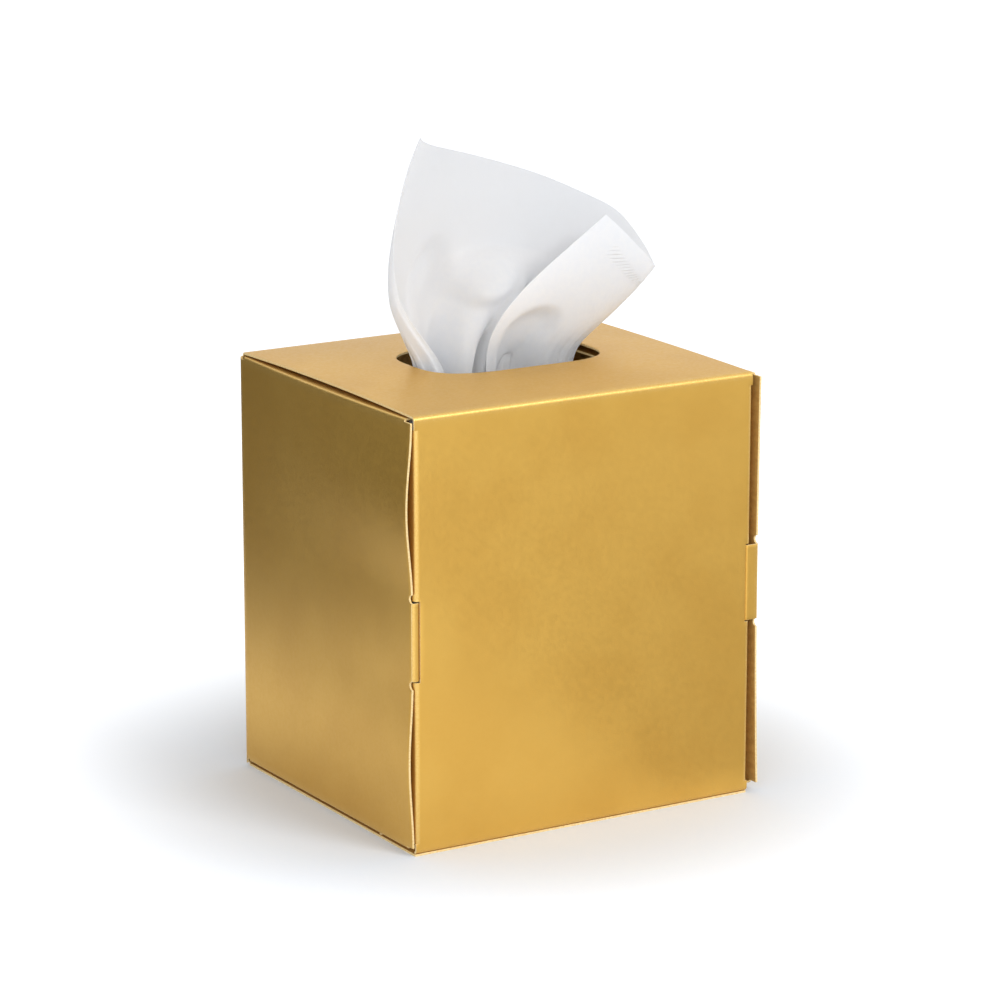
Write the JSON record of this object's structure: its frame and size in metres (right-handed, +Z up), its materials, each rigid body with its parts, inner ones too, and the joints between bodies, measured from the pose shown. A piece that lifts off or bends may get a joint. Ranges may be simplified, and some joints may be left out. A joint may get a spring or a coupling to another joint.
{
  "type": "tissue box",
  "caption": "Upright tissue carton folded from gold card, with two tab-locked side flaps, a pile of tissues and one tissue pulled up through its oval opening.",
  "frame": {"origin": "centre of the carton's footprint, on the surface that it stands on", "axes": "+Z up; the front panel faces -Y, and +X is to the right seen from the front"},
  "size_m": [0.1166, 0.0988, 0.1901],
  "materials": {
    "gold_card": "satin metallic gold, cream at its cut edges",
    "pile_tissue": "soft matt tissue",
    "tissue": "soft matt two-ply tissue"
  },
  "bodies": {
    "carton": {"carton": "gold_card", "tissue_pile": "pile_tissue", "pulled_tissue": "tissue"},
    "left_side_flap": {"left_side_flap": "gold_card"},
    "right_side_flap": {"right_side_flap": "gold_card"}
  },
  "joints": [
    {"name": "left_side_flap_hinge", "type": "hinge", "parent": "carton", "child": "left_side_flap", "pos_m": [-0.0559, 0.0481, 0.06235], "axis": [0, 0, -1], "range_deg": [0, 90]},
    {"name": "right_side_flap_hinge", "type": "hinge", "parent": "carton", "child": "right_side_flap", "pos_m": [0.0559, 0.0481, 0.06235], "axis": [0, 0, 1], "range_deg": [0, 90]}
  ]
}
